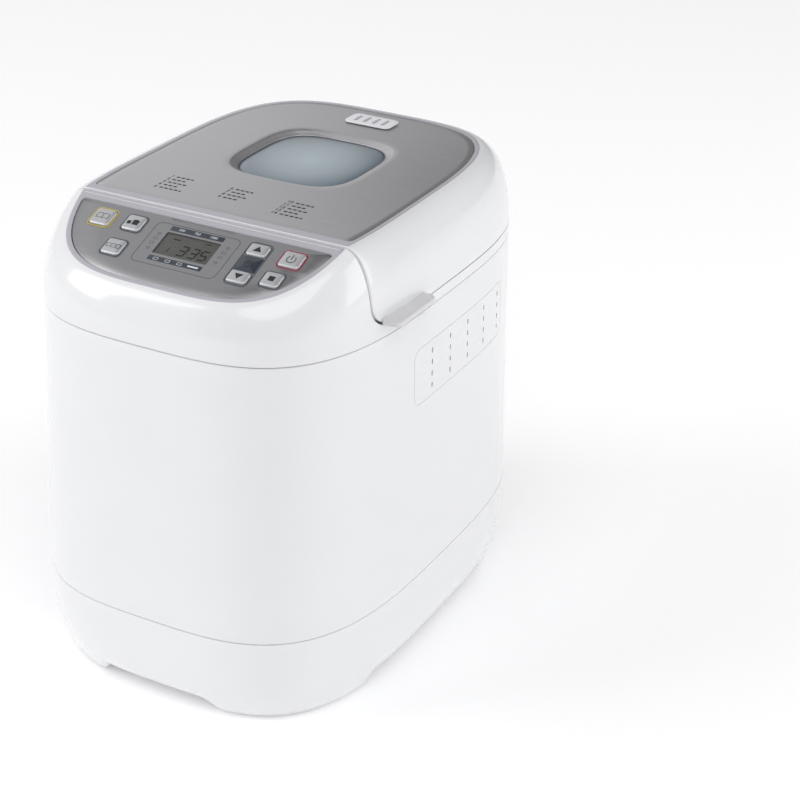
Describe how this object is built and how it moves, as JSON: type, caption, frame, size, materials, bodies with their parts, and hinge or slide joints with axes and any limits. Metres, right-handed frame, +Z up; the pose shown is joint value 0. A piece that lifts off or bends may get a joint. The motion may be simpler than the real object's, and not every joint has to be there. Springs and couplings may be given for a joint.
{
  "type": "bread machine",
  "caption": "Upright bread machine with rounded white body, rear-hinged silver lid with window, sloping key panel, lift-out pan and belt-driven paddle.",
  "frame": {"origin": "centre of the footprint, on the surface the machine stands on", "axes": "+Z up, -Y the front with the control panel, +X the machine's right-hand side as seen from the front"},
  "size_m": [0.2412, 0.323, 0.2957],
  "materials": {
    "body_white": "gloss white moulded ABS",
    "base_white": "gloss white moulded ABS",
    "deck_white": "satin white heat-resistant plastic",
    "grip_grey": "light grey moulded plastic",
    "lid_silver": "fine brushed silver lid panel",
    "fascia_silver": "silver lacquered control panel",
    "key_silver": "silver metallised plastic keys",
    "vent_grey": "light grey plastic",
    "bezel_grey": "grey window surround",
    "window_frosted": "frosted heat-resistant window",
    "lcd_glass": "clear display cover",
    "lcd_body": "display module",
    "clock_blue": "dark blue-grey tile",
    "pcb_green": "circuit board",
    "board_brown": "power circuit board with parts",
    "dark_plastic": "black plastic",
    "foot_rubber": "rubber",
    "seal_rubber": "silicone rubber",
    "screw_steel": "zinc-plated steel",
    "chamber_metal": "aluminised sheet",
    "liner_metal": "aluminised sheet",
    "element_steel": "heat-tinted steel tube",
    "chassis_steel": "galvanised steel sheet",
    "bearing_brass": "sintered bronze",
    "pulley_plastic": "natural nylon",
    "coupler_metal": "die-cast metal",
    "motor_steel": "painted steel can",
    "pan_nonstick": "dark non-stick coating",
    "bail_steel": "bright wire"
  },
  "bodies": {
    "root": {"base_tray": "base_white", "rubber_feet": "foot_rubber", "base_screws": "screw_steel", "body_shell": "body_white", "control_housing": "body_white", "top_deck": "deck_white", "control_fascia": "fascia_silver", "lcd_lens": "lcd_glass", "lcd_module": "lcd_body", "control_pcb": "pcb_green", "key_switches": "dark_plastic", "clock_tile": "clock_blue", "hinge_pin": "screw_steel", "deck_hinge_knuckles": "deck_white", "baking_chamber": "chamber_metal", "heating_element": "element_steel", "temperature_sensor": "screw_steel", "pan_seat_ring": "coupler_metal", "chassis_plate": "chassis_steel", "shaft_bearing": "bearing_brass", "drive_belt": "dark_plastic", "motor": "motor_steel", "motor_screws": "screw_steel", "power_board": "board_brown", "cord_gland": "deck_white"},
    "lid": {"lid_shell": "body_white", "lid_top_panel": "lid_silver", "window_bezel": "bezel_grey", "window_glass": "window_frosted", "lid_vent_plate": "vent_grey", "lid_liner": "liner_metal", "lid_seal": "seal_rubber", "lid_grips": "grip_grey", "lid_hinge_knuckles": "deck_white"},
    "drive": {"drive_shaft": "screw_steel", "large_pulley": "pulley_plastic", "drive_dog": "coupler_metal"},
    "rotor": {"motor_shaft": "screw_steel", "motor_pulley": "pulley_plastic"},
    "pan": {"bread_pan": "pan_nonstick", "pan_base_ring": "coupler_metal", "pan_bushing": "bearing_brass", "shaft_seal": "dark_plastic"},
    "bail": {"pan_bail": "bail_steel"},
    "spindle": {"pan_shaft": "screw_steel", "pan_coupler": "coupler_metal"},
    "paddle": {"kneading_paddle": "pan_nonstick"},
    "menu_button": {"menu_button": "key_silver"},
    "loaf_size_button": {"loaf_size_button": "key_silver"},
    "crust_button": {"crust_button": "key_silver"},
    "up_button": {"up_button": "key_silver"},
    "down_button": {"down_button": "key_silver"},
    "start_button": {"start_button": "key_silver"},
    "stop_button": {"stop_button": "key_silver"}
  },
  "joints": [
    {"name": "lid_hinge", "type": "hinge", "parent": "root", "child": "lid", "pos_m": [0, 0.153, 0.253], "axis": [-1, 0, 0], "range_deg": [0, 88]},
    {"name": "menu_press", "type": "slide", "parent": "root", "child": "menu_button", "axis": [0, 0.3584, -0.9336], "range_m": [0, 0.001], "stiffness_N_per_m": 1500},
    {"name": "loaf_size_press", "type": "slide", "parent": "root", "child": "loaf_size_button", "axis": [0, 0.3584, -0.9336], "range_m": [0, 0.001], "stiffness_N_per_m": 1500},
    {"name": "crust_press", "type": "slide", "parent": "root", "child": "crust_button", "axis": [0, 0.3584, -0.9336], "range_m": [0, 0.001], "stiffness_N_per_m": 1500},
    {"name": "up_press", "type": "slide", "parent": "root", "child": "up_button", "axis": [0, 0.3584, -0.9336], "range_m": [0, 0.001], "stiffness_N_per_m": 1500},
    {"name": "down_press", "type": "slide", "parent": "root", "child": "down_button", "axis": [0, 0.3584, -0.9336], "range_m": [0, 0.001], "stiffness_N_per_m": 1500},
    {"name": "start_press", "type": "slide", "parent": "root", "child": "start_button", "axis": [0, 0.3584, -0.9336], "range_m": [0, 0.001], "stiffness_N_per_m": 1500},
    {"name": "stop_press", "type": "slide", "parent": "root", "child": "stop_button", "axis": [0, 0.3584, -0.9336], "range_m": [0, 0.001], "stiffness_N_per_m": 1500},
    {"name": "pan_lift", "type": "slide", "parent": "root", "child": "pan", "axis": [0, 0, 1], "range_m": [0, 0.05]},
    {"name": "bail_swing", "type": "hinge", "parent": "pan", "child": "bail", "pos_m": [0, 0.024, 0.201], "axis": [1, 0, 0], "range_deg": [0, 160]},
    {"name": "drive_spin", "type": "hinge", "parent": "root", "child": "drive", "pos_m": [0, 0.024, 0.05], "axis": [0, 0, 1], "continuous": true},
    {"name": "motor_spin", "type": "hinge", "parent": "root", "child": "rotor", "pos_m": [0, -0.108, 0.05], "axis": [0, 0, 1], "continuous": true},
    {"name": "spindle_spin", "type": "hinge", "parent": "pan", "child": "spindle", "pos_m": [0, 0.024, 0.09], "axis": [0, 0, 1], "continuous": true},
    {"name": "paddle_lift", "type": "slide", "parent": "spindle", "child": "paddle", "axis": [0, 0, 1], "range_m": [0, 0.04]}
  ],
  "couplings": [
    {"joint": "motor_spin", "follows": "drive_spin", "ratio": 4.5},
    {"joint": "spindle_spin", "follows": "drive_spin", "ratio": 1}
  ]
}
